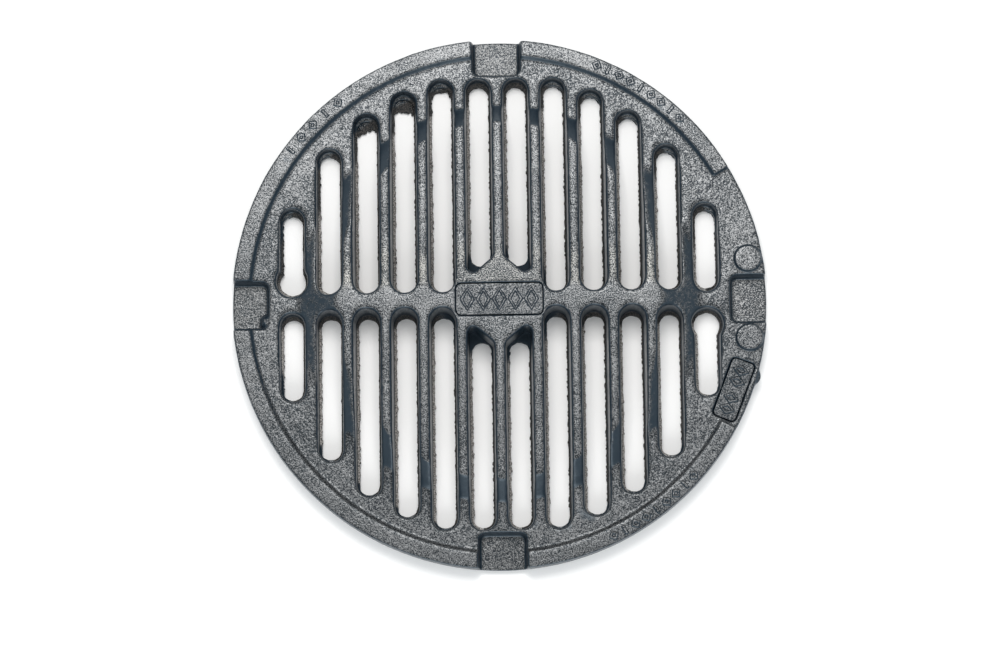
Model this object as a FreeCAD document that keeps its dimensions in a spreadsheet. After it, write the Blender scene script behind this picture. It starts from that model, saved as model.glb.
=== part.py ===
"""Round slotted drain grating of cast iron, lying with its flat walking face down.

The row frame has its origin at the centre of the flat face, +Z out of the ribbed underside and +Y
along the ribs. One casting blank is cut by the slots, the keyholes, the lug pockets and the plate
recesses. It is then divided along its natural members: rim, crossbar, hub and half ribs.
"""
import FreeCAD, Part
import math
import os
import Sketcher
from FreeCAD import Placement, Rotation, Vector

doc = FreeCAD.newDocument("drain_grating")
sheet = doc.addObject("Spreadsheet::Sheet", "Sizes")

SIZES = [
    # the casting's outline
    ("rim_radius", 150.0, "outer radius at the walking face"),
    ("rim_top_radius", 149.5, "outer radius at the top of the rim, after draft"),
    ("plate_height", 4.5, "thickness of the walking plate, and of the flange under each pocket"),
    ("rim_height", 13.0, "height of the rim"),
    ("rib_height", 26.0, "height of the ribs in the middle"),
    ("crown_foot_radius", 112.0, "circle where the ribs start to rise from the rim's level"),
    ("crown_top_across", 90.9, "oval where the ribs reach full height, half its size across"),
    ("crown_top_along", 100.4, "the same oval, half its size along the ribs"),
    # the slots
    ("slot_pitch", 21.075, "from one slot to the next"),
    ("slot_half_width", 5.35, "half a slot's width at the walking face"),
    ("slot_end_circle", 124.15, "circle through the centres of the slots' outer ends"),
    ("slot_reach_limit", 124.4, "the longest slots stop here"),
    ("edge_slot_reach", 51.7, "outer end of the slots nearest the edge"),
    ("crossbar_half_width", 7.3, "half the crossbar's width at the walking face"),
    ("hub_slot_start", 21.6, "inner end of the four middle slots"),
    ("ledge_side", 1.45, "ledge along a slot, where the rib narrows above the plate"),
    ("ledge_outer", 2.75, "ledge at a slot's outer end"),
    ("ledge_inner", 2.4, "ledge at a slot's inner end"),
    ("wall_draft", 1.65, "draft of the slot walls above the ledge, degrees"),
    ("gusset_low", 15.8, "hub gusset, where it meets the ribs beside the middle one"),
    ("gusset_high", 24.6, "hub gusset, where it meets the middle rib"),
    ("gusset_corner", 3.2, "rounding of the gusset's low end"),
    # the keyholes for a lifting key
    ("keyhole_radius", 7.2, "keyhole at the walking face"),
    ("keyhole_relief", 8.9, "keyhole above the plate"),
    ("keyhole_offset", 13.7, "keyhole centre, from the crossbar's middle line"),
    # pockets, bands, bosses and the stub
    ("pocket_width", 24.9, "lug pocket's floor, across"),
    ("pocket_inner", 129.9, "lug pocket's floor, inner edge from the centre"),
    ("pocket_corner", 3.2, "lug pocket's floor, corner radius"),
    ("pocket_draft", 8.0, "draft of the pocket walls, degrees"),
    ("band_inner", 139.6, "seat band, inner radius at its foot"),
    ("band_slope", 1.4, "how far its inner step leans back"),
    ("band_outer", 149.4, "seat band, outer radius"),
    ("band_height", 2.2, "seat band, above the rim"),
    ("band_gap_start", -29.2, "angle where the right-hand gap in the band starts, degrees"),
    ("band_gap_end", 30.0, "angle where it ends, degrees"),
    ("boss_place", 141.2, "boss centre, from the grating's centre"),
    ("boss_radius", 7.2, "boss radius"),
    ("boss_height", 2.2, "boss, above the rim"),
    ("nub_reach", 151.6, "stub's outermost point"),
    ("nub_radius", 5.5, "stub radius"),
    ("nub_height", 7.0, "stub height"),
    # plates and their raised marks
    ("centre_plate_length", 48.6, "centre plate"),
    ("centre_plate_width", 18.3, "centre plate"),
    ("date_plate_length", 35.0, "date plate"),
    ("date_plate_width", 13.8, "date plate"),
    ("plate_corner", 2.8, "corner radius of both plates"),
    ("insert_height", 3.0, "thickness of a plate"),
    ("insert_drop", 0.8, "how far a plate lies below the metal around it"),
    ("date_plate_place", 139.5, "date plate centre, from the grating's centre"),
    ("mark_height", 0.6, "raised marks"),
    ("band_mark_place", 145.2, "radius that the band marks follow"),
    ("mark_stroke", 1.3, "width of a mark's line"),
    ("bar_length", 4.6, "bar-shaped band mark, across the band"),
    ("band_lozenge", 5.2, "lozenge on a band, both ways"),
    ("centre_lozenge_width", 7.8, "lozenge on the centre plate"),
    ("centre_lozenge_length", 12.4, "the same, the long way"),
    ("centre_lozenge_step", 8.9, "from one to the next"),
    ("date_lozenge_width", 5.8, "lozenge on the date plate"),
    ("date_lozenge_length", 8.6, "the same, the long way"),
    ("date_lozenge_near", 4.9, "inner lozenges, from the middle of the date plate"),
    ("date_lozenge_far", 11.4, "outer lozenges, from the middle of the date plate"),
    # how the casting is divided into members
    ("core_radius", 121.0, "ribs end and the rim starts here"),
    ("rib_start", 13.0, "ribs start here, from the crossbar's middle line"),
    ("hub_half_length", 28.0, "the hub's half length along the ribs"),
]
for row, (alias, value, note) in enumerate(SIZES, start=1):
    sheet.set("A%d" % row, note)
    sheet.set("B%d" % row, str(value))
    sheet.setAlias("B%d" % row, alias)
doc.recompute()

BELOW = 1.0              # how far every cutting tool runs past the surface that it cuts
SLOTS_PER_SIDE = 6       # slot columns on each side of the middle rib
RIBS_PER_SIDE = 5        # half ribs on each side of the middle one
RIM_CUTS = (2, 4)        # the rim is divided at these ribs, counted from the middle one
EDGE_COLUMN = 5.5        # the edge slots' middle line, in slot pitches
LOZENGES = 5
BOSS_ANGLES = {"upper": 9.2, "lower": -9.0}
NUB_ANGLE = -17.2
DATE_PLATE_ANGLE = -21.5
BAND_MARKS = {"nw": (128.0, 143.0, 5), "ne": (45.0, 67.0, 9), "se": (-65.0, -43.0, 9)}


probe = doc.addObject("App::FeaturePython", "Probe")
probe.addProperty("App::PropertyFloat", "Result")


def size(alias):
    """A driving dimension, as a plain number."""
    return float(sheet.get(alias))


def worked_out(expression):
    """The value of a sheet expression, as a plain number."""
    probe.setExpression("Result", expression)
    probe.recompute()
    return probe.Result


def bind(thing, **expressions):
    """Ties an object's properties to the sheet."""
    for name, expression in expressions.items():
        thing.setExpression(name, expression)
    return thing


def spin(angle, radius=0.0, z=0.0):
    """The placement at a radius and an angle about the grating's axis, turned to face outwards."""
    turn = Rotation(Vector(0, 0, 1), angle)
    return Placement(turn.multVec(Vector(radius, 0, 0)) + Vector(0, 0, z), turn)


def cylinder(name, radius, height, z=None, place=None):
    """A cylinder about Z, from z upwards, or at a placement; the sizes and z are sheet expressions."""
    solid = doc.addObject("Part::Cylinder", name)
    bind(solid, Radius=radius, Height=height)
    if z:
        solid.setExpression("Placement.Base.z", z)
    if place:
        solid.Placement = place
    return solid


def box(name, low, high):
    """A box between two corners, each three sheet expressions."""
    solid = doc.addObject("Part::Box", name)
    for axis, length, lo, hi in zip("xyz", ("Length", "Width", "Height"), low, high):
        solid.setExpression("Placement.Base." + axis, lo)
        solid.setExpression(length, "(%s) - (%s)" % (hi, lo))
    return solid


def cut(name, base, tool):
    result = doc.addObject("Part::Cut", name)
    result.Base, result.Tool = base, tool
    return result


def common(name, first, second):
    result = doc.addObject("Part::Common", name)
    result.Base, result.Tool = first, second
    return result


def fuse(name, solids):
    result = doc.addObject("Part::MultiFuse", name)
    result.Shapes = solids
    return result


def group(name, solids):
    result = doc.addObject("Part::Compound", name)
    result.Links = solids
    return result


def mirrored(name, source, normal):
    result = doc.addObject("Part::Mirroring", name)
    result.Source, result.Normal = source, normal
    return result


# ---- sketches ----

def sketch_on_base(body, name, z):
    """A sketch on the body's own XY plane, lifted to the sheet expression z."""
    sketch = body.newObject("Sketcher::SketchObject", name)
    plane = [o for o in body.Origin.OriginFeatures if o.Role == "XY_Plane"][0]
    sketch.AttachmentSupport = (plane, [""])
    sketch.MapMode = "FlatFace"
    sketch.setExpression("AttachmentOffset.Base.z", z)
    return sketch


def tie(sketch, name, constraint, expression):
    """Adds a named dimension to a sketch and binds it to the sheet."""
    index = sketch.addConstraint(constraint)
    sketch.renameConstraint(index, name)
    sketch.setExpression("Constraints." + name, expression)


def add_arc(sketch, x, y, radius, start, end):
    circle = Part.Circle(Vector(x, y, 0), Vector(0, 0, 1), radius)
    return sketch.addGeometry(Part.ArcOfCircle(circle, math.radians(start), math.radians(end)), False)


def add_line(sketch, x0, y0, x1, y1):
    return sketch.addGeometry(Part.LineSegment(Vector(x0, y0, 0), Vector(x1, y1, 0)), False)


def slot_sketch(body, name, z, x, start, end, half):
    """A round-ended slot along Y: x, start, end and half width are sheet expressions."""
    sketch = sketch_on_base(body, name, z)
    cx, y0, y1, r = (worked_out(e) for e in (x, start, end, half))
    left = add_line(sketch, cx - r, y1 - r, cx - r, y0 + r)
    low = add_arc(sketch, cx, y0 + r, r, 180, 360)
    right = add_line(sketch, cx + r, y0 + r, cx + r, y1 - r)
    high = add_arc(sketch, cx, y1 - r, r, 0, 180)
    for first, first_end, second, second_end in (
            (left, 2, low, 1), (low, 2, right, 1), (right, 2, high, 1), (high, 2, left, 1)):
        sketch.addConstraint(Sketcher.Constraint("Tangent", first, first_end, second, second_end))
    sketch.addConstraint(Sketcher.Constraint("Equal", low, high))
    origin = (-1, 1)
    tie(sketch, "half_width", Sketcher.Constraint("Radius", low, r), half)
    tie(sketch, "low_x", Sketcher.Constraint("DistanceX", *origin, low, 3, cx), x)
    tie(sketch, "high_x", Sketcher.Constraint("DistanceX", *origin, high, 3, cx), x)
    tie(sketch, "low_y", Sketcher.Constraint("DistanceY", *origin, low, 3, y0 + r),
        "%s + %s" % (start, half))
    tie(sketch, "high_y", Sketcher.Constraint("DistanceY", *origin, high, 3, y1 - r),
        "%s - (%s)" % (end, half))
    return sketch


def gusset_slot_sketch(body, name, z, x, end, half):
    """A middle slot above the plate: round at its outer end, slanted along the hub's gusset."""
    sketch = sketch_on_base(body, name, z)
    low_e, high_e, corner_e = "Sizes.gusset_low", "Sizes.gusset_high", "Sizes.gusset_corner"
    cx, y1, r = (worked_out(e) for e in (x, end, half))
    low, high, corner = (worked_out(e) for e in (low_e, high_e, corner_e))
    left = add_line(sketch, cx - r, y1 - r, cx - r, high)
    slant = add_line(sketch, cx - r, high, cx + r - corner, low)
    foot = add_arc(sketch, cx + r - corner, low + corner, corner, 270, 360)
    right = add_line(sketch, cx + r, low + corner, cx + r, y1 - r)
    top = add_arc(sketch, cx, y1 - r, r, 0, 180)
    for kind, first, first_end, second, second_end in (
            ("Coincident", left, 2, slant, 1), ("Coincident", slant, 2, foot, 1),
            ("Tangent", foot, 2, right, 1), ("Tangent", right, 2, top, 1),
            ("Tangent", top, 2, left, 1)):
        sketch.addConstraint(Sketcher.Constraint(kind, first, first_end, second, second_end))
    origin = (-1, 1)
    tie(sketch, "half_width", Sketcher.Constraint("Radius", top, r), half)
    tie(sketch, "top_x", Sketcher.Constraint("DistanceX", *origin, top, 3, cx), x)
    tie(sketch, "top_y", Sketcher.Constraint("DistanceY", *origin, top, 3, y1 - r),
        "%s - (%s)" % (end, half))
    tie(sketch, "corner", Sketcher.Constraint("Radius", foot, corner), corner_e)
    tie(sketch, "foot_y", Sketcher.Constraint("DistanceY", *origin, foot, 3, low + corner),
        "%s + %s" % (low_e, corner_e))
    tie(sketch, "foot_x", Sketcher.Constraint("DistanceX", *origin, foot, 3, cx + r - corner),
        "%s + %s - %s" % (x, half, corner_e))
    tie(sketch, "slant_end", Sketcher.Constraint("DistanceX", *origin, slant, 2, cx + r - corner),
        "%s + %s - %s" % (x, half, corner_e))
    tie(sketch, "slant_high", Sketcher.Constraint("DistanceY", *origin, slant, 1, high), high_e)
    tie(sketch, "slant_x", Sketcher.Constraint("DistanceX", *origin, slant, 1, cx - r),
        "%s - (%s)" % (x, half))
    return sketch


def lozenge(name, width, length, place):
    """A raised lozenge-shaped frame, centred on its place: width and length are sheet expressions."""
    body = doc.addObject("PartDesign::Body", name)
    sketch = sketch_on_base(body, name + "_outline", "0")
    for label, inset in (("outer", "0"), ("inner", "Sizes.mark_stroke")):
        half_x, half_y = ("(%s) / 2 - %s" % (whole, inset) for whole in (width, length))
        a, b = worked_out(half_x), worked_out(half_y)
        corners = [(a, 0), (0, b), (-a, 0), (0, -b)]
        lines = [add_line(sketch, *p, *q) for p, q in zip(corners, corners[1:] + corners[:1])]
        for first, second in zip(lines, lines[1:] + lines[:1]):
            sketch.addConstraint(Sketcher.Constraint("Coincident", first, 2, second, 1))
        right, top, left, low = lines
        sketch.addConstraint(Sketcher.Constraint("PointOnObject", right, 1, -1))
        sketch.addConstraint(Sketcher.Constraint("PointOnObject", top, 1, -2))
        sketch.addConstraint(Sketcher.Constraint("Symmetric", right, 1, left, 1, -1, 1))
        sketch.addConstraint(Sketcher.Constraint("Symmetric", top, 1, low, 1, -1, 1))
        tie(sketch, label + "_x", Sketcher.Constraint("DistanceX", -1, 1, right, 1, a), half_x)
        tie(sketch, label + "_y", Sketcher.Constraint("DistanceY", -1, 1, top, 1, b), half_y)
    pad(body, sketch, name + "_pad", "Sizes.mark_height")
    body.Placement = place
    return body


def rounded_plate(name, length, width, corner, height, draft=None):
    """A plate with round corners in its own body, centred by its placement, wider above with draft."""
    body = doc.addObject("PartDesign::Body", name)
    sketch = sketch_on_base(body, name + "_outline", "0")
    dx, dy, r = (worked_out(e) for e in (length, width, corner))
    lines = [add_line(sketch, r, 0, dx - r, 0), add_line(sketch, dx, r, dx, dy - r),
             add_line(sketch, dx - r, dy, r, dy), add_line(sketch, 0, dy - r, 0, r)]
    centres = [(dx - r, r, 270), (dx - r, dy - r, 0), (r, dy - r, 90), (r, r, 180)]
    arcs = [add_arc(sketch, x, y, r, start, start + 90) for x, y, start in centres]
    for i in range(4):
        sketch.addConstraint(Sketcher.Constraint("Tangent", lines[i], 2, arcs[i], 1))
        sketch.addConstraint(Sketcher.Constraint("Tangent", arcs[i], 2, lines[(i + 1) % 4], 1))
        sketch.addConstraint(Sketcher.Constraint("Vertical" if i % 2 else "Horizontal", lines[i]))
    for i in range(1, 4):
        sketch.addConstraint(Sketcher.Constraint("Equal", arcs[0], arcs[i]))
    sketch.addConstraint(Sketcher.Constraint("PointOnObject", lines[0], 1, -1))
    sketch.addConstraint(Sketcher.Constraint("PointOnObject", lines[3], 1, -2))
    tie(sketch, "corner", Sketcher.Constraint("Radius", arcs[0], r), corner)
    tie(sketch, "length", Sketcher.Constraint("DistanceX", -1, 1, lines[1], 1, dx), length)
    tie(sketch, "width", Sketcher.Constraint("DistanceY", -1, 1, lines[2], 1, dy), width)
    pad(body, sketch, name + "_pad", height, draft)
    return body


def pad(body, sketch, name, length, taper=None):
    feature = body.newObject("PartDesign::Pad", name)
    feature.Profile = sketch
    feature.setExpression("Length", length)
    if taper:
        feature.setExpression("TaperAngle", taper)
    return feature


# ---- the blank: plate, rim and the crown that the ribs rise to ----

def casting_blank():
    plate = cylinder("plate_blank", "Sizes.rim_radius", "Sizes.plate_height")
    rim = doc.addObject("Part::Cone", "rim_blank")
    bind(rim, Radius1="Sizes.rim_radius", Radius2="Sizes.rim_top_radius",
         Height="Sizes.rim_height - Sizes.plate_height")
    rim.setExpression("Placement.Base.z", "Sizes.plate_height")
    seam_forward = Rotation(Vector(0, 0, 1), 90)
    foot = doc.addObject("Part::Circle", "crown_foot")
    foot.Placement.Rotation = seam_forward
    bind(foot, Radius="Sizes.crown_foot_radius")
    foot.setExpression("Placement.Base.z", "Sizes.rim_height")
    top = doc.addObject("Part::Ellipse", "crown_top")
    top.Placement.Rotation = seam_forward
    bind(top, MajorRadius="Sizes.crown_top_along", MinorRadius="Sizes.crown_top_across")
    top.setExpression("Placement.Base.z", "Sizes.rib_height")
    crown = doc.addObject("Part::Loft", "crown_blank")
    crown.Sections, crown.Solid, crown.Ruled = [foot, top], True, True
    return fuse("casting_blank", [plate, rim, crown])


# ---- the slots ----

def slot_reach(column):
    """The outer end of a slot at the walking face, as a sheet expression."""
    if column == SLOTS_PER_SIDE - 1:
        return "Sizes.edge_slot_reach"
    on_circle = ("sqrt(Sizes.slot_end_circle ^ 2 - (%s * Sizes.slot_pitch) ^ 2)"
                 " + Sizes.slot_half_width" % (column + 0.5))
    return "min(%s; Sizes.slot_reach_limit)" % on_circle


def slot_tool(column):
    """One slot, at a right-hand column of the upper half: narrow plate part, wide drafted part."""
    body = doc.addObject("PartDesign::Body", "slot_tool_%d" % (column + 1))
    x = "%s * Sizes.slot_pitch" % (column + 0.5)
    reach = slot_reach(column)
    middle = column == 0
    start = "Sizes.hub_slot_start" if middle else "Sizes.crossbar_half_width"
    narrow = slot_sketch(body, "narrow_%d" % (column + 1), str(-BELOW), x, start, reach,
                         "Sizes.slot_half_width")
    pad(body, narrow, "narrow_pad_%d" % (column + 1), "Sizes.plate_height + %s" % BELOW)
    half = "(Sizes.slot_half_width + Sizes.ledge_side)"
    end = reach + " + Sizes.ledge_outer"
    name = "wide_%d" % (column + 1)
    if middle:
        wide = gusset_slot_sketch(body, name, "Sizes.plate_height", x, end, half)
    else:
        start = "Sizes.crossbar_half_width - Sizes.ledge_inner"
        wide = slot_sketch(body, name, "Sizes.plate_height", x, start, end, half)
    pad(body, wide, "wide_pad_%d" % (column + 1),
        "Sizes.rib_height - Sizes.plate_height + %s" % BELOW, "Sizes.wall_draft")
    return body


def slot_tools():
    """All slots, by mirroring the upper right quarter twice."""
    quarter = group("slots_upper_right", [slot_tool(i) for i in range(SLOTS_PER_SIDE)])
    across = mirrored("slots_upper_left", quarter, Vector(1, 0, 0))
    upper = group("slots_upper", [quarter, across])
    lower = mirrored("slots_lower", upper, Vector(0, 1, 0))
    return group("slots", [upper, lower])


def keyhole_tools():
    """The round ends for a lifting key: on the upper left and the lower right edge slot."""
    tools = []
    for name, side in (("left", -1), ("right", 1)):
        hole = cylinder("keyhole_" + name, "Sizes.keyhole_radius", "Sizes.plate_height + %s" % BELOW,
                        str(-BELOW))
        relief = cylinder("keyhole_relief_" + name, "Sizes.keyhole_relief",
                          "Sizes.rib_height - Sizes.plate_height", "Sizes.plate_height")
        for tool in (hole, relief):
            tool.setExpression("Placement.Base.x", "%s * Sizes.slot_pitch" % (side * EDGE_COLUMN))
            tool.setExpression("Placement.Base.y", "%d * Sizes.keyhole_offset" % -side)
        tools.append(fuse("keyhole_tool_" + name, [hole, relief]))
    return group("keyholes", tools)


# ---- pockets and plates ----

def pocket_tools():
    """The four lug pockets, open at the rim, cut down to the flange, with drafted walls."""
    tools = []
    for index in range(4):
        tool = rounded_plate("pocket_tool_%d" % (index + 1), "2 * (Sizes.rim_radius - Sizes.pocket_inner)",
                             "Sizes.pocket_width", "Sizes.pocket_corner", "Sizes.rim_height",
                             "Sizes.pocket_draft")
        place = spin(90 * index, size("pocket_inner"), size("plate_height"))
        tool.Placement = place.multiply(Placement(Vector(0, -size("pocket_width") / 2, 0), Rotation()))
        tools.append(tool)
    return group("pockets", tools)


def insert_pair(name, length, width, place):
    """A recessed plate and the tool that cuts its seat; place is the middle of the metal's surface."""
    solids = []
    for label, height in ((name, "Sizes.insert_height"),
                          (name + "_seat", "Sizes.insert_height + Sizes.insert_drop + %s" % BELOW)):
        solid = rounded_plate(label, length, width, "Sizes.plate_corner", height)
        depth = size("insert_height") + size("insert_drop")
        corner = Vector(-worked_out(length) / 2, -worked_out(width) / 2, -depth)
        solid.Placement = place.multiply(Placement(corner, Rotation()))
        solids.append(solid)
    return solids


# ---- the rim's raised features ----

def seat_bands(pockets):
    """Raised arcs between the pockets, with a leaning inner step and a gap on the right."""
    inner = doc.addObject("Part::Cone", "band_bore")
    bind(inner, Radius1="Sizes.band_inner", Radius2="Sizes.band_inner + Sizes.band_slope",
         Height="Sizes.band_height")
    inner.setExpression("Placement.Base.z", "Sizes.rim_height")
    arcs = {"nw": (90.0, 180.0), "ne": (size("band_gap_end"), 90.0),
            "se": (270.0, 360.0 + size("band_gap_start")), "sw": (180.0, 270.0)}
    bands = []
    for name, (start, end) in arcs.items():
        sector = cylinder("band_sector_" + name, "Sizes.band_outer", "Sizes.band_height",
                          place=spin(start, z=size("rim_height")))
        sector.Angle = end - start
        ring = cut("band_arc_" + name, sector, inner)
        bands.append(cut("seat_band_" + name, ring, pockets))
    return bands


def bosses():
    """Two round stacking bosses beside the right-hand pocket, kept inside the rim."""
    limit = cylinder("boss_limit", "Sizes.band_outer", "Sizes.boss_height", "Sizes.rim_height")
    made = []
    for name, angle in BOSS_ANGLES.items():
        stud = cylinder("boss_stud_" + name, "Sizes.boss_radius", "Sizes.boss_height",
                        place=spin(angle, size("boss_place"), size("rim_height")))
        made.append(common("stacking_boss_" + name, stud, limit))
    return made


def gate_nub():
    """The stub left on the rim's wall where the metal was poured in."""
    place = spin(NUB_ANGLE, size("nub_reach") - size("nub_radius"), size("plate_height"))
    stub = cylinder("nub_stub", "Sizes.nub_radius", "Sizes.nub_height", place=place)
    return cut("gate_nub", stub, doc.getObject("casting_blank"))


def raised_bar(name, place):
    """A small raised bar across a seat band, centred on its place."""
    bar = doc.addObject("Part::Box", name)
    bind(bar, Length="Sizes.bar_length", Width="Sizes.mark_stroke", Height="Sizes.mark_height")
    corner = Vector(-size("bar_length") / 2, -size("mark_stroke") / 2, 0)
    bar.Placement = place.multiply(Placement(corner, Rotation()))
    return bar


def band_marks(name, start, end, count):
    """A row of plain marks along a seat band: every third one a bar, the others lozenges."""
    top = size("rim_height") + size("band_height")
    step = (end - start) / (count - 1)
    marks = []
    for index in range(count):
        label = "band_mark_%s_%d" % (name, index + 1)
        place = spin(start + index * step, size("band_mark_place"), top)
        if index % 3 == 1:
            marks.append(raised_bar(label, place))
        else:
            marks.append(lozenge(label, "Sizes.band_lozenge", "Sizes.band_lozenge", place))
    return group("band_marks_" + name, marks)


def centre_marks(top):
    """Plain lozenges in a row on the centre plate."""
    marks = []
    for index in range(LOZENGES):
        steps = index - (LOZENGES - 1) / 2
        place = Placement(Vector(steps * size("centre_lozenge_step"), 0, top), Rotation())
        marks.append(lozenge("centre_mark_%d" % (index + 1), "Sizes.centre_lozenge_width",
                             "Sizes.centre_lozenge_length", place))
    return group("centre_marks", marks)


def date_marks(place):
    """Two pairs of plain lozenges on the date plate."""
    near, far = size("date_lozenge_near"), size("date_lozenge_far")
    marks = []
    for index, along in enumerate((-far, -near, near, far)):
        spot = Placement(Vector(along, 0, 0), Rotation())
        marks.append(lozenge("date_mark_%d" % (index + 1), "Sizes.date_lozenge_width",
                             "Sizes.date_lozenge_length", place.multiply(spot)))
    return group("date_marks", marks)


# ---- dividing the casting ----

def rim_cells():
    """The rim's parts: name, low corner and high corner in the plane, as sheet expressions."""
    near, far = ("%s * Sizes.slot_pitch" % ribs for ribs in RIM_CUTS)
    edge = "Sizes.rim_radius + %s" % BELOW
    cells = [("rim_right", (far, "-(%s)" % edge), (edge, edge)),
             ("rim_left", ("-(%s)" % edge, "-(%s)" % edge), ("-" + far, edge))]
    for row, low_y, high_y in (("upper", "0", edge), ("lower", "-(%s)" % edge, "0")):
        cells += [("rim_%s" % row, ("-" + near, low_y), (near, high_y)),
                  ("rim_%s_right" % row, (near, low_y), (far, high_y)),
                  ("rim_%s_left" % row, ("-" + far, low_y), ("-" + near, high_y))]
    return cells


def core_cells():
    """The hub, the crossbar's arms and the half ribs: name, low corner and high corner."""
    hub_x, arm_x = "1.5 * Sizes.slot_pitch", "Sizes.core_radius + %s" % BELOW
    hub_y, arm_y = "Sizes.hub_half_length", "Sizes.rib_start"
    cells = [("hub", ("-" + hub_x, "-" + hub_y), (hub_x, hub_y)),
             ("crossbar_left", ("-(%s)" % arm_x, "-" + arm_y), ("-" + hub_x, arm_y)),
             ("crossbar_right", (hub_x, "-" + arm_y), (arm_x, arm_y))]
    for column in range(-RIBS_PER_SIDE, RIBS_PER_SIDE + 1):
        left, right = ("%s * Sizes.slot_pitch" % (column + side) for side in (-0.5, 0.5))
        near = hub_y if abs(column) <= 1 else arm_y
        number = column + RIBS_PER_SIDE + 1
        cells.append(("rib_upper_%d" % number, (left, near), (right, arm_x)))
        cells.append(("rib_lower_%d" % number, (left, "-(%s)" % arm_x), (right, "-" + near)))
    return cells


def members(casting):
    """The casting's parts: rim, hub, crossbar arms and half ribs."""
    core = cylinder("core", "Sizes.core_radius", "2 * Sizes.rib_height", str(-BELOW))
    rim = cut("rim_casting", casting, core)
    middle = common("core_casting", casting, core)
    low_z, high_z = str(-BELOW), "Sizes.rib_height + %s" % BELOW
    made = []
    for whole, cells in ((rim, rim_cells()), (middle, core_cells())):
        for name, low, high in cells:
            cell = box(name + "_cell", low + (low_z,), high + (high_z,))
            made.append(common(name, whole, cell))
    return made


def build():
    blank = casting_blank()
    pockets = pocket_tools()
    date_place = spin(DATE_PLATE_ANGLE, size("date_plate_place"), size("rim_height"))
    date_place = date_place.multiply(Placement(Vector(), Rotation(Vector(0, 0, 1), 90)))
    centre_place = Placement(Vector(0, 0, size("rib_height")), Rotation())
    date_plate, date_seat = insert_pair("date_plate", "Sizes.date_plate_length",
                                        "Sizes.date_plate_width", date_place)
    centre_plate, centre_seat = insert_pair("centre_plate", "Sizes.centre_plate_length",
                                            "Sizes.centre_plate_width", centre_place)
    casting = cut("casting_slotted", blank, slot_tools())
    casting = cut("casting_keyed", casting, keyhole_tools())
    casting = cut("casting_pocketed", casting, pockets)
    casting = cut("casting", casting, group("seats", [date_seat, centre_seat]))
    made = members(casting)
    made += seat_bands(pockets) + bosses() + [gate_nub()]
    drop = Placement(Vector(0, 0, -size("insert_drop")), Rotation())
    made += [date_plate, centre_plate, date_marks(date_place.multiply(drop)),
             centre_marks(size("rib_height") - size("insert_drop"))]
    made += [band_marks(name, *arc) for name, arc in BAND_MARKS.items()]
    return made


subparts = build()
doc.recompute()
for item in doc.Objects:
    if {"Invalid", "Error"} & set(item.State):
        raise SystemExit("%s failed: %s" % (item.Name, item.State))

for part in subparts:
    part.Label = part.Name
    if part.Shape.isNull() or not part.Shape.isValid() or not part.Shape.Solids:
        raise SystemExit("%s has no valid solid" % part.Label)

os.makedirs("parts", exist_ok=True)
for part in subparts:
    print("%-22s solids %d volume %.0f" % (part.Label, len(part.Shape.Solids), part.Shape.Volume))
    part.Shape.exportStep(os.path.join("parts", part.Label + ".step"))
print(len(subparts), "sub-parts")
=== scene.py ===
"""Looks of a round slotted drain grating, a sand-cast iron casting that lies on its walking face.

The casting's members are joined, remeshed and smoothed as one body, so that fillets and the cast
skin run on across them. The body is then divided again into the same members. Shapes are worked
out in millimetres and turned into metres as each mesh is made; the camera, the lights and the
materials are in metres.
"""
import math

import bmesh
import bpy
import numpy as np
from mathutils import Matrix, Vector


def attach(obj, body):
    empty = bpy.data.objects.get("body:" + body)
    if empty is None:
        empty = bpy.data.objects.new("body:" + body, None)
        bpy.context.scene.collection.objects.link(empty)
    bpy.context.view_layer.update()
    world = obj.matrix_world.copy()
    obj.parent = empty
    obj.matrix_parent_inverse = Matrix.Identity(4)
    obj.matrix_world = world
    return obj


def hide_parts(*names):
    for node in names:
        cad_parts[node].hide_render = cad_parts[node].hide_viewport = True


MM = 0.001
VOXEL, PLATE_VOXEL, MARK_VOXEL, LUMP_VOXEL = 0.6, 0.3, 0.2, 0.3

# the casting's sizes, as in the CAD
RIM, BASE_TOP, RIM_TOP, CREST = 150.0, 4.5, 13.0, 26.0
PITCH, SLOT_HALF, CROSSBAR_HALF, HUB_SLOT = 21.075, 5.35, 7.3, 21.6
COLUMNS = 6              # slot columns on each side of the middle rib
END_CIRCLE, REACH_LIMIT, EDGE_REACH = 124.15, 124.4, 51.7
KEYHOLE_OFFSET, KEYHOLE_CHORD = 13.7, 4.9    # to its centre, and on to where its slot's straight walls start
BANDS = {"nw": (90, 180), "ne": (30, 90), "se": (270, 330.8), "sw": (180, 270)}
BOSSES = {"stacking_boss_upper": 9.2, "stacking_boss_lower": -9.0}
BOSS_PLACE, BOSS_RADIUS, BOSS_MARGIN = 141.2, 7.2, 1.5
NUB_PLACE, NUB_ANGLE, NUB_RADIUS, NUB_MARGIN, NUB_REACH = 146.1, -17.2, 5.5, 1, 151.6
DATE_PLACE, DATE_ANGLE = 139.5, -21.5
CENTRE_PLATE, DATE_PLATE = (48.6, 18.3), (13.8, 35.0)

# where the casting is divided into its members
LIP = RIM_TOP + 0.5      # raised features on the rim are divided from it at this height
RAISED_FROM = 134        # and lie beyond this radius
RIB_INSET = 6            # from a slot's outer end to the end of the ribs beside it
RIB_START, HUB_REACH = 13, 28
HUB_COLUMN, EDGE_COLUMN = 1.5, 5.5
RIM_CUTS = (2, 4)        # the rim is divided in these slot columns
# a plane cuts only faces this near to its rib, the bar, a keyhole, a slot's end and the plane itself
NEAR_RIB, NEAR_BAR, NEAR_KEYHOLE, NEAR_END, NEAR_PLANE = 8, 14, 16, 3, 1.5 * VOXEL

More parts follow.
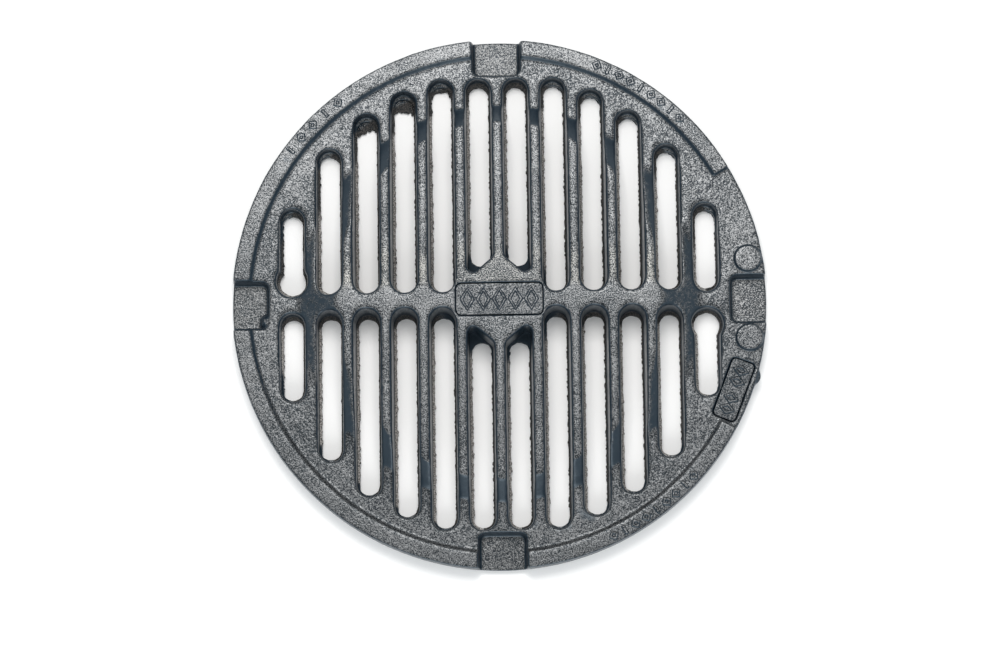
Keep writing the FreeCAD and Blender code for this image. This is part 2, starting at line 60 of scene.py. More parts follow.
# regions of the skin, as (coordinate, where the region starts, where it is full); r is the radius
LEDGES = ("z", 6.5, 5.2), ("r", 130, 128)
LOWER_BAND_FOOT = ("r", 133, 134), ("r", 141, 140), ("y", -5, -30), ("z", 12, 12.6)
RIB_SIDES = ("z", 6, 10), ("r", 129, 126)
LOW_WALLS = ("z", BASE_TOP, BASE_TOP - 0.9), ("z", 0.1, 0.6), ("r", 128, 125)
BELOW_LEDGES = (("z", 4.9, 3.9),)
LOWER_ENDS = (("y", -30, -45),)
BAND_FOOT = ("r", 131, 135), ("r", 143, 138.5), ("z", 11, 12)

# how the skin is reworked
SMOOTHING, KEPT_SHARP = 0.5, 0.35     # shares of the way to the neighbours' mean
BAND_FOOT_SHARPER = 1.35
EDGE_ROUNDS, RIB_ROUNDS = 4, 26
TOOTH_STRETCH, TOOTH_BIAS = (1, 1, 0.3), 0.5     # teeth run down the walls, larger where these face right
OPENED_RIGHT, OPENED_END = 0.45, 1.3
BAND_DRAWN_IN, DRAWN_IN_BIAS = 0.8, 0.4
RIM_DRAFT, DRAFT_TOP = 0.08, 10

# layers of noise, as (how far it moves the skin, its scale, its seed)
SKIN = (0.10, 9.0, 1), (0.05, 3.1, 2), (0.035, 1.5, 3)
TEETH = (0.20, 1.5, 4), (0.14, 2.6, 5)
FINE_SKIN = (0.05, 2.2, 6), (0.03, 0.9, 7)
FIN_EDGE = (0.8, 1.0, 11), (0.5, 2.3, 12)
FIN_TOP = ((0.4, 3.0, 13),)
LUMP_SKIN = ((0.15, 0.8, 15),)

# flash left by the mould
POCKET_LUMP = [((-130.4, -9.2, 6.5), (3.6, 4.6, 6.2)), ((-131.3, -8.7, 12.0), (1.6, 1.8, 1.4))]
LEFT_FINS, RIGHT_FINS, END_FINS = (0.75, 3.9), (0.5, 1.5), (0.4, 1.5)     # strength and height
FIN_LIMIT, FIN_ROOT, FIN_BOTTOM = 0.8, 0.9, 0.15
FIN_STEP, FIN_TURN = 0.28, 3     # between a fin's points: along a wall, and in degrees round an end
FIN_LOW_SLOPE, FIN_HIGH_SLOPE = 0.3, 0.4
RIGHT_FINS_BACK, LOWER_END_FINS_OUT = 0.35, 1.2
# depth of the flash at the outer ends of three slots, by column: at the left, the middle and the right
END_FLASH = {3: (5.8, 6.3, 0.9), 2: (4.6, 7.6, 5.6), 1: (1.6, 2.6, 0.2)}
BALLS_PER_MM, WALL_OVERLAP = 28, 0.4
BALL_HEIGHT, BALL_ACROSS, BALL_UP, BALL_THINNING = (0.7, 1.5), (0.5, 1.0), 1.6, 0.7

# the camera and the floor, in metres and degrees
CAMERA_DISTANCE, CAMERA_TILT, CAMERA_YAW, CAMERA_ROLL = 1.84, 7.86, 0.22, 0.86
CAMERA_TARGET, CAMERA_LENS, CAMERA_SENSOR = (0, -0.016, 0), 117.9, 36
FLOOR_HALF, FLOOR_DROP = 3, 0.0002

# colours, linear
COAT = (0.006, 0.012, 0.019, 1), (0.012, 0.021, 0.031, 1)
# the worn flats' grey here is partly painted sheen
PITS, WORN_SHEEN_GREY, STREAK = (0.008, 0.010, 0.012, 1), (0.184, 0.186, 0.189), (0.27, 0.265, 0.25)
# painted light and shade: the flats' grey is scaled darker on the lower side and lighter on the upper side,
# as the light falls
SHADED_LOWER_SHARE, LIT_UPPER_SHARE = 0.77, 1.10
# the right-hand pocket's floor is painted lighter, as lit from the right
POCKET_FLOOR, LIT_RIGHT_POCKET_FLOOR = (0.150, 0.150, 0.150, 1), (0.215, 0.215, 0.215, 1)
EARTH = (0.035, 0.034, 0.033, 1), (0.44, 0.415, 0.39, 1)
# the darker earth is painted shade, for earth in sheltered places
SHADED_EARTH = (0.007, 0.007, 0.007, 1), (0.066, 0.057, 0.050, 1)
PAPER = (0.91, 0.91, 0.91, 1)

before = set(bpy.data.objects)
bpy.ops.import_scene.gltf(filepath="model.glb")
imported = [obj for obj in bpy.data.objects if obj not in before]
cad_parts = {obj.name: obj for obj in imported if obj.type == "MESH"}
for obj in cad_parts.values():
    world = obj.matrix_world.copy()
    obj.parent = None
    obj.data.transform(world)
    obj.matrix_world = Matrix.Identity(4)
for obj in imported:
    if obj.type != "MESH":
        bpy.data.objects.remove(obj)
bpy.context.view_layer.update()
scene = bpy.context.scene
rng = np.random.default_rng(7)
TABLE = rng.random(65536)
HASH = 73856093, 19349663, 83492791, 2654435


def place_camera():
    tilt, yaw, roll = (math.radians(a) for a in (CAMERA_TILT, CAMERA_YAW, CAMERA_ROLL))
    back = Vector((math.sin(yaw), -math.sin(tilt) * math.cos(yaw), math.cos(tilt) * math.cos(yaw)))
    level = Vector((math.cos(roll), -math.sin(roll), 0))
    right = (level - back * level.dot(back)).normalized()
    matrix = Matrix((right, back.cross(right), back)).transposed().to_4x4()
    matrix.translation = Vector(CAMERA_TARGET) + back * CAMERA_DISTANCE
    data = bpy.data.cameras.new("camera")
    data.lens, data.sensor_width = CAMERA_LENS, CAMERA_SENSOR
    camera = bpy.data.objects.new("camera", data)
    camera.matrix_world = matrix
    scene.collection.objects.link(camera)
    scene.camera = camera


# ---- mesh tools ----

def read(items, attribute, width=1, kind=float):
    """One attribute of all items, as an array with so many columns."""
    values = np.empty(len(items) * width, kind)
    items.foreach_get(attribute, values)
    return values.reshape(-1, width) if width > 1 else values


def new_mesh(name, co, faces):
    """A mesh from vertices in millimetres and an array of faces with one number of corners."""
    mesh = bpy.data.meshes.new(name)
    sides = faces.shape[1]
    mesh.vertices.add(len(co))
    mesh.vertices.foreach_set("co", (co * MM).ravel())
    mesh.loops.add(faces.size)
    mesh.loops.foreach_set("vertex_index", faces.ravel())
    mesh.polygons.add(len(faces))
    mesh.polygons.foreach_set("loop_start", np.arange(0, faces.size, sides))
    mesh.polygons.foreach_set("loop_total", np.full(len(faces), sides))
    mesh.update(calc_edges=True)
    return mesh


def remeshed(mesh, voxel):
    """Vertices in millimetres and quads of a mesh's voxel remesh."""
    source = bpy.data.objects.new("remesh_source", mesh)
    scene.collection.objects.link(source)
    modifier = source.modifiers.new("remesh", "REMESH")
    modifier.mode, modifier.voxel_size, modifier.adaptivity = "VOXEL", voxel * MM, 0
    depsgraph = bpy.context.evaluated_depsgraph_get()
    result = bpy.data.meshes.new_from_object(source.evaluated_get(depsgraph))
    co = read(result.vertices, "co", 3) / MM
    faces = read(result.loops, "vertex_index", kind=int).reshape(-1, 4)
    bpy.data.objects.remove(source)
    bpy.data.meshes.remove(result)
    return co, faces


def joined(names, balls=(), subdivisions=3):
    """The nodes' meshes and some balls as one mesh: each ball has a centre and three radii."""
    bm = bmesh.new()
    for name in names:
        bm.from_mesh(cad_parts[name].data)
    for centre, radii in balls:
        matrix = Matrix.Translation(Vector(centre) * MM) @ Matrix.Diagonal([r * MM for r in radii] + [1])
        bmesh.ops.create_icosphere(bm, subdivisions=subdivisions, radius=1, matrix=matrix)
    mesh = bpy.data.meshes.new("joined")
    bm.to_mesh(mesh)
    bm.free()
    return mesh


def edges_of(faces):
    pairs = np.sort(np.stack((faces, np.roll(faces, -1, 1)), 2).reshape(-1, 2), 1)
    keys = np.unique(pairs[:, 0] * (faces.max() + 1) + pairs[:, 1])
    return keys // (faces.max() + 1), keys % (faces.max() + 1)


def smoothed(co, edges, weight, rounds):
    """Moves each vertex towards the mean of its neighbours by its weight, so many times."""
    a, b = edges
    n = len(co)
    weight = np.broadcast_to(weight, n)
    share = weight / np.maximum(np.bincount(a, minlength=n) + np.bincount(b, minlength=n), 1)
    for _ in range(rounds):
        total = np.stack([np.bincount(a, co[b, k], n) + np.bincount(b, co[a, k], n) for k in range(3)], 1)
        co = co * (1 - weight[:, None]) + total * share[:, None]
    return co


def vertex_normals(co, faces):
    p = co[faces]
    normal = np.cross(p[:, 2] - p[:, 0], p[:, 3] - p[:, 1])
    total = np.stack([np.bincount(faces.ravel(), np.repeat(normal[:, k], 4), len(co)) for k in range(3)], 1)
    return total / np.maximum(np.linalg.norm(total, axis=1, keepdims=True), 1e-9)


def step(x, start, full):
    """Smooth from 0 at start to 1 at full, whichever of the two is larger."""
    t = np.clip((x - start) / (full - start), 0, 1)
    return t * t * (3 - 2 * t)


def radius_of(co):
    return np.hypot(co[:, 0], co[:, 1])


def zone(co, limits):
    """How far each vertex lies in a region of the skin, from 0 to 1."""
    place = {"y": co[:, 1], "z": co[:, 2], "r": radius_of(co)}
    share = np.ones(len(co))
    for coordinate, start, full in limits:
        share *= step(place[coordinate], start, full)
    return share


def noise(p, scale, seed):
    """Smooth value noise from -1 to 1; scale is its lattice step in millimetres."""
    q = p / scale
    cell = np.floor(q).astype(np.int64)
    f = q - cell
    f = f * f * (3 - 2 * f)
    value = np.zeros(len(p))
    for corner in range(8):
        offset = np.array([corner & 1, corner >> 1 & 1, corner >> 2])
        c = cell + offset
        key = c[:, 0] * HASH[0] ^ c[:, 1] * HASH[1] ^ c[:, 2] * HASH[2] ^ seed * HASH[3]
        value += TABLE[key & (len(TABLE) - 1)] * np.prod(np.where(offset, f, 1 - f), axis=1)
    return value * 2 - 1


def rough(p, layers):
    return sum(amount * noise(p, scale, seed) for amount, scale, seed in layers)


# ---- the casting ----

def from_plate(p, size, place=0.0, angle=0.0):
    """Distance in the plane from a plate's outline, negative inside."""
    a = math.radians(angle)
    x = p[:, 0] * math.cos(a) + p[:, 1] * math.sin(a) - place
    y = -p[:, 0] * math.sin(a) + p[:, 1] * math.cos(a)
    dx, dy = np.abs(x) - size[0] / 2, np.abs(y) - size[1] / 2
    return np.where((dx > 0) & (dy > 0), np.hypot(dx, dy), np.maximum(dx, dy))


def reach(column):
    """The outer end of a slot at the walking face, by its column from the middle."""
    if column == COLUMNS - 1:
        return EDGE_REACH
    return min(math.sqrt(END_CIRCLE ** 2 - ((column + 0.5) * PITCH) ** 2) + SLOT_HALF, REACH_LIMIT)


REACHES = np.array([reach(column) for column in range(COLUMNS)])
RIB_ENDS = REACHES - RIB_INSET


def slot_outline(p):
    """Distance in the plane from the nearest slot's outline, and the direction away from its middle."""
    column = np.minimum(np.floor(np.abs(p[:, 0]) / PITCH), COLUMNS - 1)
    middle = np.sign(p[:, 0]) * (column + 0.5) * PITCH
    ends = REACHES[column.astype(int)] - SLOT_HALF
    starts = np.where(column == 0, HUB_SLOT, CROSSBAR_HALF) + SLOT_HALF
    along = np.sign(p[:, 1]) * np.clip(np.abs(p[:, 1]), starts, ends)
    away = p[:, :2] - np.column_stack((middle, along))
    distance = np.linalg.norm(away, axis=1)
    return distance - SLOT_HALF, away / np.maximum(distance, 1e-9)[:, None]


def softened(co, faces):
    """Rounds every edge, least on the ledges and the lower band's foot, and then the ribs some more."""
    edges = edges_of(faces)
    sharp = np.maximum(zone(co, LEDGES), zone(co, LOWER_BAND_FOOT) * BAND_FOOT_SHARPER)
    co = smoothed(co, edges, SMOOTHING - KEPT_SHARP * sharp, EDGE_ROUNDS)
    plates = np.minimum(from_plate(co, CENTRE_PLATE), from_plate(co, DATE_PLATE, DATE_PLACE, DATE_ANGLE))
    return smoothed(co, edges, SMOOTHING * zone(co, RIB_SIDES) * step(plates, 1.5, 3.5), RIB_ROUNDS)


def roughened(co, faces):
    """Gives the skin its unevenness, and the slots' low walls their teeth."""
    normal = vertex_normals(co, faces)
    low_wall = zone(co, LOW_WALLS) * step(np.abs(normal[:, 2]), 0.5, 0.2)
    teeth = rough(co * TOOTH_STRETCH, TEETH) * (1 + TOOTH_BIAS * normal[:, 0])
    return co + normal * (rough(co, SKIN) + low_wall * teeth)[:, None]


def opened(co):
    """Widens the slots below their ledges, to the right and at the lower row's outer ends."""
    distance, away = slot_outline(co)
    right = OPENED_RIGHT * step(away[:, 0], 0.3, 0.8) * step(distance, 1.4, 0.3)
    lower_end = step(away[:, 1], -0.2, -0.8) * zone(co, LOWER_ENDS)
    wider = np.maximum(right, OPENED_END * lower_end * step(distance, 2.8, 0.3))
    co[:, :2] += away * (zone(co, BELOW_LEDGES) * wider)[:, None]
    co[:, 2] = np.clip(co[:, 2], 0, CREST)
    return co


def drawn_in(co):
    """Draws the seat band's inner edge in, and keeps the rim within its drafted outline."""
    r = np.maximum(radius_of(co), 1)
    inwards = BAND_DRAWN_IN * zone(co, BAND_FOOT) * (1 - DRAWN_IN_BIAS * co[:, 0] / r)
    co[:, :2] *= (1 - inwards / r)[:, None]
    a = math.radians(NUB_ANGLE)
    nub = np.hypot(co[:, 0] - NUB_PLACE * math.cos(a), co[:, 1] - NUB_PLACE * math.sin(a))
    drafted = RIM - RIM_DRAFT * np.clip(DRAFT_TOP - co[:, 2], 0, DRAFT_TOP)
    limit = np.where(nub < NUB_RADIUS + NUB_MARGIN, NUB_REACH, drafted)
    co[:, :2] *= np.minimum(1, limit / np.maximum(radius_of(co), 1))[:, None]
    return co


def casting():
    """The whole casting without its plates and marks, with fillets and an uneven skin."""
    names = [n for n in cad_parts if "marks" not in n and "plate" not in n]
    co, faces = remeshed(joined(names, POCKET_LUMP), VOXEL)
    return drawn_in(opened(roughened(softened(co, faces), faces))), faces


def cuts(centre):
    """The planes between the members: axis, place and the faces near each."""
    x, y = centre.T[:2]
    planes = []
    for side in (-1, 1):
        for column in range(1 - COLUMNS, COLUMNS):
            rib = np.abs(x - column * PITCH) < NEAR_RIB
            planes.append((1, side * RIB_ENDS[abs(column)], rib))
            planes.append((1, side * (HUB_REACH if abs(column) < HUB_COLUMN else RIB_START), rib))
        planes.append((0, side * HUB_COLUMN * PITCH, np.abs(y) < NEAR_BAR))
        planes.append((0, side * EDGE_COLUMN * PITCH, np.abs(y) < NEAR_KEYHOLE))
        for column in RIM_CUTS:
            planes.append((0, side * (column + 0.5) * PITCH, np.abs(y) > REACHES[column] - NEAR_END))
    planes.append((2, LIP, np.hypot(x, y) > RAISED_FROM))
    for axis, at, near in planes:
        yield axis, at, np.nonzero(near & (np.abs(centre[:, axis] - at) < NEAR_PLANE))[0]


def divided(co, faces):
    """The casting's mesh, cut along the planes between its members."""
    mesh = new_mesh("casting", co, faces)
    bm = bmesh.new()
    bm.from_mesh(mesh)
    bm.faces.ensure_lookup_table()
    near = [(axis, at, [bm.faces[i] for i in found]) for axis, at, found in cuts(co[faces].mean(1))]
    for axis, at, found in near:
        found = [f for f in found if f.is_valid]
        geometry = set(found) | {e for f in found for e in f.edges} | {v for f in found for v in f.verts}
        point, normal = Vector(), Vector()
        point[axis], normal[axis] = at * MM, 1
        bmesh.ops.bisect_plane(bm, geom=list(geometry), plane_co=point, plane_no=normal, dist=1e-8)
    bm.to_mesh(mesh)
    bm.free()
    return mesh


def members(centre):
    """The name of the member that each face belongs to, from its centre."""
    x, y, z = centre.T
    across, along = np.abs(x), np.abs(y)
    r, angle = np.hypot(x, y), np.degrees(np.arctan2(y, x)) % 360
    column = np.clip(np.rint(x / PITCH).astype(int), 1 - COLUMNS, COLUMNS - 1)
    row = np.where(y > 0, "upper", "lower")
    side = np.where(x > 0, "_right", "_left")
    inner_cut, outer_cut = ((c + 0.5) * PITCH for c in RIM_CUTS)
    rim = np.char.add(np.char.add("rim_", row), np.where(across < inner_cut, "", side))
    name = np.where(across > outer_cut, np.char.add("rim", side), rim).astype("<U24")
    core = (across < EDGE_COLUMN * PITCH) & (along < RIB_ENDS[np.abs(column)])
    rib = np.char.add(np.char.add("rib_", row), np.char.add("_", (column + COLUMNS).astype(str)))
    name[core] = rib[core]
    arm = core & (along < RIB_START)
    name[arm] = np.char.add("crossbar", side)[arm]
    name[core & (across < HUB_COLUMN * PITCH) & (along < HUB_REACH)] = "hub"
    raised = (z > LIP) & (r > RAISED_FROM)
    for band, (start, end) in BANDS.items():
        name[raised & (angle > start - 1) & (angle < end + 1)] = "seat_band_" + band
    for boss, at in BOSSES.items():
        a = math.radians(at)
        from_boss = np.hypot(x - BOSS_PLACE * math.cos(a), y - BOSS_PLACE * math.sin(a))
        name[raised & (from_boss < BOSS_RADIUS + BOSS_MARGIN)] = boss
    return name


def part_pieces(mesh):
    """One piece for each member, closed where it was cut from the others."""
    normal = read(mesh.vertex_normals, "vector", 3)
    co = read(mesh.vertices, "co", 3)
    corners = read(mesh.loops, "vertex_index", kind=int)
    sides = read(mesh.polygons, "loop_total", kind=int)
    labels = members(read(mesh.polygons, "center", 3) / MM)
    for name in map(str, np.unique(labels)):
        mine = labels == name
        used, index = np.unique(corners[np.repeat(mine, sides)], return_inverse=True)
        total = sides[mine]
        part = bpy.data.meshes.new(name)
        part.vertices.add(len(used))
        part.vertices.foreach_set("co", co[used].ravel())
        part.loops.add(len(index))
        part.loops.foreach_set("vertex_index", index)
        part.polygons.add(len(total))
        part.polygons.foreach_set("loop_start", np.cumsum(total) - total)
        part.polygons.foreach_set("loop_total", total)
        part.update(calc_edges=True)
        bm = bmesh.new()
        bm.from_mesh(part)
        bmesh.ops.holes_fill(bm, edges=[e for e in bm.edges if e.is_boundary], sides=0)
        bm.to_mesh(part)
        bm.free()
        extra = ["gate_nub"] if name == "rim_right" else []
        finish_piece(name, part, normal[used], name, *extra)


def fine_piece(name, voxel, rounds, shrink=0.0, sink=0.0, flare=0.0):
    """A plate or its marks with cast edges.

    shrink draws its sides in, sink lets its underside down and flare spreads its foot.
    """
    source = joined([name])
    co = read(source.vertices, "co", 3)
    underside = co[:, 2] < co[:, 2].min() + 0.01 * MM
    co[underside, 2] -= sink * MM
    source.vertices.foreach_set("co", co.ravel())
    co, faces = remeshed(source, voxel)
    co = smoothed(co, edges_of(faces), SMOOTHING, rounds)
    normal = vertex_normals(co, faces)
    top = co[:, 2].max()
    spread = flare * step(co[:, 2], top - 0.12, top - 0.6) - shrink
    co = co + normal * rough(co, FINE_SKIN)[:, None] + normal * (1, 1, 0) * spread[:, None]
    co[:, 2] = np.minimum(co[:, 2], CREST)
    finish_piece(name, new_mesh(name, co, faces), None, name)


# ---- flash ----

def fin(points, inward, depth, height):
    """A closed ragged strip along a wall: depth is how far it stands into the slot, by point."""
    n = len(points)
    root, low = np.full(n, -FIN_ROOT), np.full(n, FIN_BOTTOM)
    section = [(root, low), (depth, low + FIN_LOW_SLOPE), (depth, height - FIN_HIGH_SLOPE), (root, height)]
    co = np.concatenate([np.column_stack((points + inward * d[:, None], z)) for d, z in section])
    i = np.arange(n - 1)
    quads = [np.column_stack((a * n + i, a * n + i + 1, b * n + i + 1, b * n + i))
             for a, b in ((0, 1), (1, 2), (2, 3), (3, 0))]
    ends = np.array([[0, n, 2 * n, 3 * n], [4 * n - 1, 3 * n - 1, 2 * n - 1, n - 1]])
    return co, np.concatenate(quads + [ends])


def slot_runs(side, row, column):
    """The slot's two walls and its outer end: points, direction inwards, strength and height of fins."""
    x = side * (column + 0.5) * PITCH
    low = HUB_SLOT if column == 0 else CROSSBAR_HALF
    if column == COLUMNS - 1 and side * row < 0:
        low = KEYHOLE_OFFSET + KEYHOLE_CHORD - SLOT_HALF
    y = np.arange(low + SLOT_HALF, REACHES[column] - SLOT_HALF, FIN_STEP)
    for wall, kind in ((-1, LEFT_FINS), (1, RIGHT_FINS)):
        points = np.column_stack((np.full(len(y), x + wall * SLOT_HALF), row * y))
        yield points, np.tile((-wall, 0.0), (len(y), 1)), *kind
    turn = np.radians(np.arange(0, 180 + 0.1, FIN_TURN))
    outward = np.column_stack((np.cos(turn), row * np.sin(turn)))
    middle = np.array((x, row * (REACHES[column] - SLOT_HALF)))
    out = SLOT_HALF + (LOWER_END_FINS_OUT if row < 0 else 0)
    yield middle + outward * out, -outward, *END_FINS


def slot_flash():
    """Ragged fins along every slot's walls and round its outer end, strongest on the left-hand walls."""
    all_co, all_faces, count = [], [], 0
    for side, row, column in ((s, w, c) for s in (-1, 1) for w in (-1, 1) for c in range(COLUMNS)):
        for points, inward, strength, height in slot_runs(side, row, column):
            p = np.column_stack((points, np.full(len(points), side * row * 3.0 + column)))
            depth = strength * rough(p, FIN_EDGE) - RIGHT_FINS_BACK * (inward[:, 0] < -0.9)
            depth = np.clip(depth, -FIN_LIMIT, FIN_LIMIT)
            co, faces = fin(points, inward, depth, height + rough(p, FIN_TOP))
            all_co.append(co)
            all_faces.append(faces + count)
            count += len(co)
    mesh = new_mesh("slot_flash", np.concatenate(all_co), np.concatenate(all_faces))
    bm = bmesh.new()
    bm.from_mesh(mesh)
    bmesh.ops.recalc_face_normals(bm, faces=bm.faces)
    bm.to_mesh(mesh)
    bm.free()
    finish_piece("slot_flash", mesh, None)


def end_flash():
    """Rough flash at the outer ends of three of the upper slots, made of many balls."""
    balls = []
    for column, depths in END_FLASH.items():
        x, middle = -(column + 0.5) * PITCH, REACHES[column] - SLOT_HALF
        for _ in range(int(BALLS_PER_MM * max(depths))):
            dx = rng.uniform(-SLOT_HALF, SLOT_HALF)
            wall = middle + math.sqrt(max(SLOT_HALF ** 2 - dx * dx, 0))
            hang = np.interp(dx, (-SLOT_HALF, 0, SLOT_HALF), depths) * rng.uniform(0, 1)
            z, across = rng.uniform(*BALL_HEIGHT), rng.uniform(*BALL_ACROSS)
            up = BALL_UP - BALL_THINNING * hang / max(depths)
            balls.append(((x + dx, wall + WALL_OVERLAP - hang, z), (across, across, up)))
    co, faces = remeshed(joined((), balls, subdivisions=2), LUMP_VOXEL)
    co = smoothed(co, edges_of(faces), SMOOTHING, 1)
    co = co + vertex_normals(co, faces) * rough(co, LUMP_SKIN)[:, None]
    co[:, 2] = np.maximum(co[:, 2], 0)
    finish_piece("end_flash", new_mesh("end_flash", co, faces), None)


def finish_piece(name, mesh, normal, *nodes):
    """Makes a piece of a mesh, rides it on the casting's body and has it stand for its CAD nodes."""
    mesh.polygons.foreach_set("use_smooth", np.ones(len(mesh.polygons), bool))
    if normal is not None:
        mesh.normals_split_custom_set_from_vertices(normal)
    piece = bpy.data.objects.new(name + "_skin", mesh)
    scene.collection.objects.link(piece)
    mesh.materials.append(PLATE_IRON if "plate" in name or name in ("date_marks", "centre_marks") else IRON)
    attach(piece, "root")
    if nodes:
        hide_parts(*nodes)


# ---- materials ----

class Nodes:
    """Short ways to add nodes to one material; a value is a socket, a number or a colour."""

    def __init__(self, name):
        self.material = bpy.data.materials.new(name)
        self.material.use_nodes = True
        self.tree = self.material.node_tree
        self.shader = self.tree.nodes["Principled BSDF"]
        self.place = self.add("TexCoord").outputs["Object"]

    def add(self, kind, **settings):
        node = self.tree.nodes.new("ShaderNode" + kind)
        for key, value in settings.items():
            setattr(node, key, value)
        return node

    def link(self, source, target):
        if isinstance(source, (int, float, tuple)):
            target.default_value = source
        else:
            self.tree.links.new(source, target)

    def maths(self, operation, *values):
        node = self.add("Math", operation=operation)
        for socket, value in zip(node.inputs, values):
            self.link(value, socket)
        return node.outputs[0]

    def chain(self, operation, first, *others):
        for other in others:
            first = self.maths(operation, first, other)
        return first

    def times(self, *values):
        return self.chain("MULTIPLY", *values)

    def plus(self, *values):
        return self.chain("ADD", *values)

    def largest(self, *values):
        return self.chain("MAXIMUM", *values)

    def less(self, value):
        """What is left of 1."""
        return self.maths("SUBTRACT", 1.0, value)

    def split(self, vector):
        node = self.add("SeparateXYZ")
        self.link(vector, node.inputs[0])
        return tuple(node.outputs)

    def band(self, value, start, full, at_start=0.0, at_full=1.0):
        """Smooth from one number to another as the value goes from start to full."""
        node = self.add("MapRange", interpolation_type="SMOOTHSTEP")
        for socket, v in zip(node.inputs, (value, start, full, at_start, at_full)):
            self.link(v, socket)
        return node.outputs[0]

    def noise(self, scale, detail, roughness):
        node = self.add("TexNoise")
        node.inputs["Scale"].default_value = scale
        node.inputs["Detail"].default_value = detail
        node.inputs["Roughness"].default_value = roughness
        self.link(self.place, node.inputs["Vector"])
        return node.outputs[0]

    def mix(self, share, a, b):
        node = self.add("Mix", data_type="RGBA")
        for index, value in ((0, share), (6, a), (7, b)):
            self.link(value, node.inputs[index])
        return node.outputs[2]


def scaled(colour, share):
    return tuple(share * c for c in colour) + (1,)


def cast_iron(name, tone):
    """Blue-grey coated iron, worn to speckled grey where it faces up, that grey partly painted sheen, with
    painted light and shade on parts of it; tone scales that grey.
    """
    n = Nodes(name)
    _, northward, facing = n.split(n.add("NewGeometry").outputs["Normal"])
    east, across, height = n.split(n.place)
    flattened = n.add("VectorMath", operation="MULTIPLY")
    n.link(n.place, flattened.inputs[0])
    flattened.inputs[1].default_value = (1, 1, 0)
    length = n.add("VectorMath", operation="LENGTH")
    n.link(flattened.outputs[0], length.inputs[0])
    radius = length.outputs["Value"]
    grain = n.noise(1500.0, 2.0, 0.6)
    coarse = n.noise(480.0, 2.0, 0.55)
    patches = n.noise(45.0, 3.0, 0.55)
    on_crest = n.band(height, 0.020, 0.0245)
    in_hub = n.band(radius, 0.036, 0.030)
    # painted shade: the hub's low shelves are kept dark, as shade in these recesses
    shaded_shelf = n.times(n.band(height, 0.0075, 0.0060), in_hub)

    # worn flats with a ragged border, their grey partly painted sheen; the seat band's lower foot is painted
    # lighter where it faces +Y, towards the light, and the hub's shelves are kept dark as painted shade
    lower_band_foot = n.times(
        n.band(height, 0.0123, 0.0127), n.band(height, 0.0165, 0.0160), n.band(across, 0.0, -0.04))
    # painted light: the lower band's foot is lighter where it faces +Y, towards the light
    lit_band_foot = n.times(n.largest(northward, 0.0), n.times(lower_band_foot, 0.6))
    ragged = n.times(n.maths("SUBTRACT", coarse, 0.5), 0.20)
    flat = n.band(n.plus(facing, lit_band_foot, ragged), 0.81, 0.96)
    flat = n.times(flat, n.band(patches, 0.66, 0.74, 1.0, 0.45), n.less(shaded_shelf))

    # how much of a flat is bright speckle rather than dark pits
    uneven = n.times(n.maths("SUBTRACT", patches, 0.5), 0.22)
    worn = n.plus(n.band(height, 0.0125, 0.0155, -0.02, 0.0), n.band(height, 0.020, 0.0245, 0.0, 0.010))
    pits_end = n.maths("MULTIPLY_ADD", on_crest, 0.05, 0.39)
    speckle_full = n.maths("MULTIPLY_ADD", on_crest, -0.03, 0.62)
    speckle = n.band(n.plus(grain, uneven, worn), pits_end, speckle_full)

    # the speckle's grey: painted lighter towards +Y and +X and darker towards -Y, as painted light and shade
    # from where the light falls; lightest in streaks on the crests above the crossbar
    lit_upper_side = n.band(n.maths("MULTIPLY_ADD", east, 0.3, across), -0.15, 0.15)
    grey = n.mix(lit_upper_side, scaled(WORN_SHEEN_GREY, tone * SHADED_LOWER_SHARE), scaled(WORN_SHEEN_GREY, tone * LIT_UPPER_SHARE))
    above_bar = n.times(n.band(across, 0.006, 0.012), n.band(across, 0.036, 0.021))
    streak = n.times(above_bar, on_crest, n.band(patches, 0.40, 0.62, 0.4, 1.0))
    grey = n.mix(streak, grey, scaled(STREAK, tone))
    # painted light: the right-hand pocket's floor is lighter, as lit from the right
    pocket_floor = n.mix(n.band(east, 0.110, 0.130), POCKET_FLOOR, LIT_RIGHT_POCKET_FLOOR)
    grey = n.mix(n.band(height, 0.0075, 0.0055), grey, pocket_floor)
    colour = n.mix(flat, n.mix(coarse, *COAT), n.mix(speckle, PITS, grey))

    # earth on the ledges and low walls, painted dark as shade at the upper slots' outer ends, below the
    # crossbar, along the right-hand side of each slot and low down
    foot = n.times(n.band(height, 0.0054, 0.0047), n.band(radius, 0.1285, 0.1265), n.less(in_hub))
    outer_end = n.times(n.band(radius, 0.1120, 0.1155), n.band(across, 0.0, 0.02))
    under_bar = n.times(n.band(across, -0.0150, -0.0115), n.band(across, 0.0, -0.004))
    along_pitch = n.maths("FRACT", n.maths("MULTIPLY_ADD", east, 1 / (PITCH * MM), 20.5))
    left_side = n.band(along_pitch, 0.47, 0.43)
    low_down = n.band(height, 0.0036, 0.0024)
    painted_shade = n.largest(outer_end, under_bar, left_side, low_down)
    earth = n.mix(n.band(grain, 0.35, 0.65), *EARTH)
    shaded_earth = n.mix(n.band(grain, 0.40, 0.65), *SHADED_EARTH)
    n.link(n.mix(foot, colour, n.mix(painted_shade, earth, shaded_earth)), n.shader.inputs["Base Color"])

    n.link(n.times(flat, n.less(foot), 0.60), n.shader.inputs["Metallic"])
    dull = n.times(n.largest(shaded_shelf, n.times(painted_shade, foot)), 0.5)
    n.link(n.plus(n.band(coarse, 0.3, 0.7, 0.30, 0.38), dull), n.shader.inputs["Roughness"])
    n.shader.inputs["Specular IOR Level"].default_value = 0.5
    n.shader.inputs["Specular Tint"].default_value = (0.76, 0.90, 1.0, 1)
    bump = n.add("Bump")
    bump.inputs["Distance"].default_value = 0.00021
    n.link(n.band(flat, 0, 1, 0.2, 0.8), bump.inputs["Strength"])
    n.link(n.plus(n.times(grain, 0.7), coarse), bump.inputs["Height"])
    n.link(bump.outputs[0], n.shader.inputs["Normal"])
    return n.material


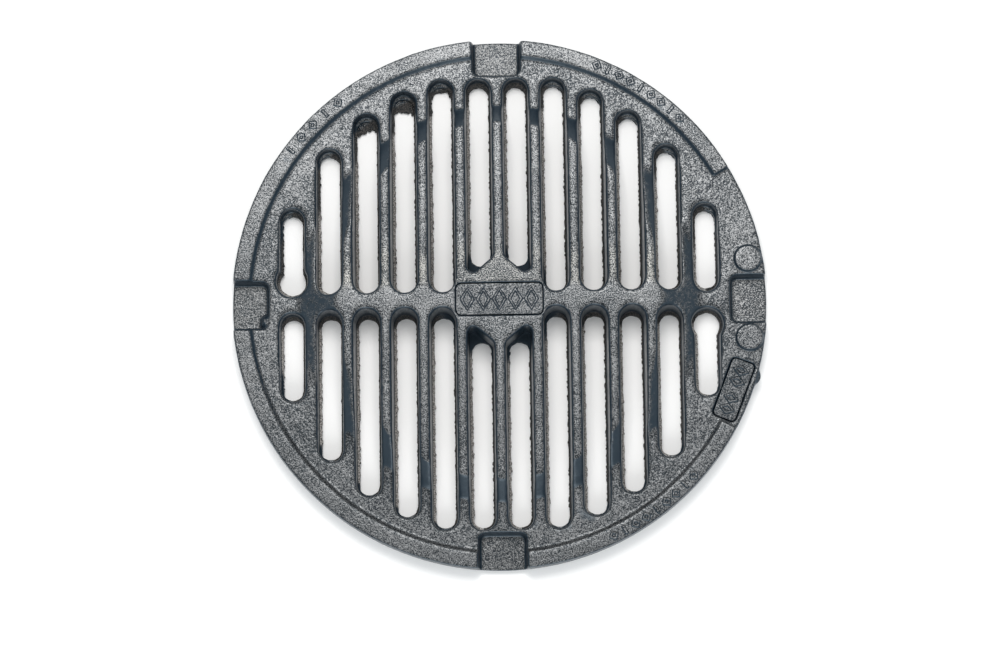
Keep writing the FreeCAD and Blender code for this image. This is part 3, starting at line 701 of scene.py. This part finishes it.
# ---- floor and light ----

def stage():
    mesh = bpy.data.meshes.new("floor")
    corners = [(-FLOOR_HALF, -FLOOR_HALF, 0), (FLOOR_HALF, -FLOOR_HALF, 0),
               (FLOOR_HALF, FLOOR_HALF, 0), (-FLOOR_HALF, FLOOR_HALF, 0)]
    mesh.from_pydata(corners, [], [(0, 1, 2, 3)])
    floor = bpy.data.objects.new("floor", mesh)
    floor.location.z = -FLOOR_DROP
    scene.collection.objects.link(floor)
    paper = bpy.data.materials.new("paper")
    paper.use_nodes = True
    shader = paper.node_tree.nodes["Principled BSDF"]
    shader.inputs["Base Color"].default_value = PAPER
    shader.inputs["Roughness"].default_value = 0.9
    shader.inputs["Specular IOR Level"].default_value = 0.1
    mesh.materials.append(paper)


def light(name, place, size, power, colour=(1, 1, 1)):
    data = bpy.data.lights.new(name, "AREA")
    data.size, data.energy, data.color = size, power, colour
    lamp = bpy.data.objects.new(name, data)
    lamp.location = place
    lamp.rotation_euler = (-Vector(place)).to_track_quat("-Z", "Y").to_euler()
    scene.collection.objects.link(lamp)


def lights():
    world = bpy.data.worlds.new("studio")
    scene.world = world
    world.use_nodes = True
    background = world.node_tree.nodes["Background"]
    background.inputs["Color"].default_value = (0.95, 0.985, 1, 1)
    background.inputs["Strength"].default_value = 0.8
    light("key", place=(-0.04, 0.60, 1.5), size=0.75, power=16.5, colour=(1, 0.975, 0.95))
    light("front", place=(0, -1.5, 0.85), size=1.2, power=15.0)
    scene.view_settings.view_transform = "Standard"


place_camera()
IRON, PLATE_IRON = cast_iron("cast_iron", 1.0), cast_iron("plate_iron", 0.74)
part_pieces(divided(*casting()))
for name in ("date_plate", "centre_plate"):
    fine_piece(name, PLATE_VOXEL, rounds=5, shrink=0.6)
for name in ("date_marks", "centre_marks", "band_marks_nw", "band_marks_ne", "band_marks_se"):
    fine_piece(name, MARK_VOXEL, rounds=2, sink=0.5, flare=0.5 if name == "centre_marks" else 0.55)
slot_flash()
end_flash()
stage()
lights()
